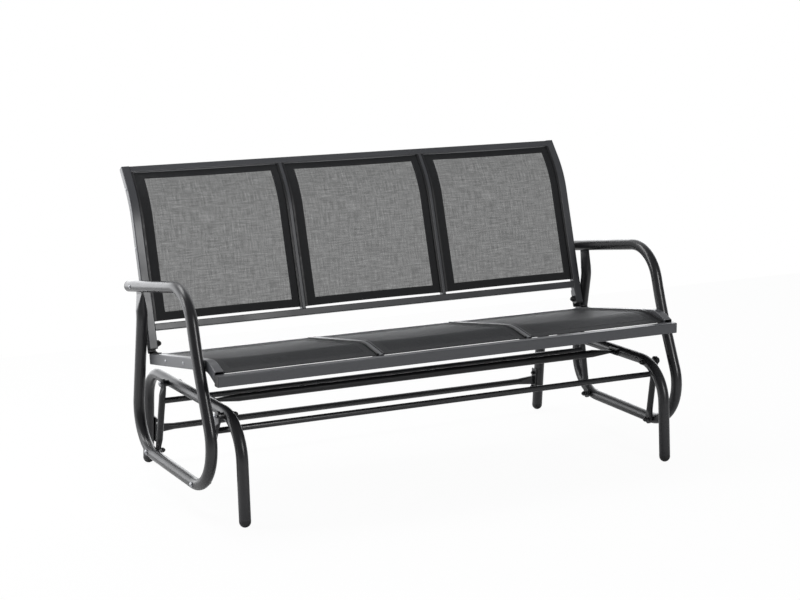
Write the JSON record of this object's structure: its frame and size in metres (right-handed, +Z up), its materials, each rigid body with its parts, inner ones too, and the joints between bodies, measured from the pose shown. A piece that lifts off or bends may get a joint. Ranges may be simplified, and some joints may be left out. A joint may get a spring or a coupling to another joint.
{
  "type": "outdoor glider bench",
  "caption": "Outdoor glider bench: steel tube armrest loops carry a mesh sling seat and back, hung by swing links from two fixed arches.",
  "frame": {"origin": "middle of the footprint on the floor, at rest", "axes": "+X along the width, towards the right armrest of somebody facing the bench; +Y from the front of the seat to the back; +Z up"},
  "size_m": [1.5268, 0.7545, 0.8733],
  "materials": {
    "powder_coat": "satin textured powder coat",
    "black_plastic": "moulded",
    "grey_plastic": "moulded",
    "black_nylon": "moulded",
    "zinc_steel": "zinc plated",
    "black_steel": "black oxide",
    "sling_mesh": "woven coated yarn",
    "track_plastic": "extruded"
  },
  "bodies": {
    "base": {"left_arch": "powder_coat", "right_arch": "powder_coat", "foot_caps": "black_plastic", "front_stretcher": "powder_coat", "rear_stretcher": "powder_coat", "stretcher_bolts": "black_steel", "upper_pivot_bolts": "zinc_steel", "upper_pivot_nuts": "black_nylon", "upper_pivot_bushings": "black_nylon"},
    "front_links": {"front_link_left": "powder_coat", "front_link_right": "powder_coat", "front_link_tie": "powder_coat"},
    "rear_links": {"rear_link_left": "powder_coat", "rear_link_right": "powder_coat", "rear_link_tie": "powder_coat"},
    "seat": {"left_arm_loop": "powder_coat", "right_arm_loop": "powder_coat", "arm_end_caps": "grey_plastic", "lower_pivot_bolts": "zinc_steel", "lower_pivot_nuts": "black_nylon", "lower_pivot_spacers": "black_nylon", "seat_front_rail": "powder_coat", "seat_rear_rail": "powder_coat", "seat_left_rail": "powder_coat", "seat_right_rail": "powder_coat", "seat_left_divider": "powder_coat", "seat_right_divider": "powder_coat", "seat_sling_tracks": "track_plastic", "seat_sling_left": "sling_mesh", "seat_sling_centre": "sling_mesh", "seat_sling_right": "sling_mesh", "back_left_post": "powder_coat", "back_right_post": "powder_coat", "back_top_rail": "powder_coat", "back_lower_rail": "powder_coat", "back_left_divider": "powder_coat", "back_right_divider": "powder_coat", "back_sling_tracks": "track_plastic", "back_sling_left": "sling_mesh", "back_sling_centre": "sling_mesh", "back_sling_right": "sling_mesh", "post_end_caps": "black_plastic", "rail_end_caps": "black_plastic", "back_brackets": "black_steel", "bracket_bolts": "black_steel", "arm_bolts": "zinc_steel", "post_bolts": "black_nylon", "seat_bolts": "black_steel", "sling_screws": "zinc_steel"}
  },
  "joints": [
    {"name": "front_link_swing", "type": "hinge", "parent": "base", "child": "front_links", "pos_m": [0, -0.253, 0.28028], "axis": [1, 0, 0], "range_deg": [-12, 12]},
    {"name": "rear_link_swing", "type": "hinge", "parent": "base", "child": "rear_links", "pos_m": [0, 0.144, 0.2845], "axis": [1, 0, 0], "range_deg": [-12.4, 12.4]},
    {"name": "seat_swing", "type": "hinge", "parent": "front_links", "child": "seat", "pos_m": [0, -0.198, 0.0864], "axis": [1, 0, 0], "range_deg": [-14.3, 14.3]}
  ],
  "couplings": [
    {"joint": "rear_link_swing", "follows": "front_link_swing", "ratio": 1.0236},
    {"joint": "seat_swing", "follows": "front_link_swing", "ratio": -1.1799}
  ]
}
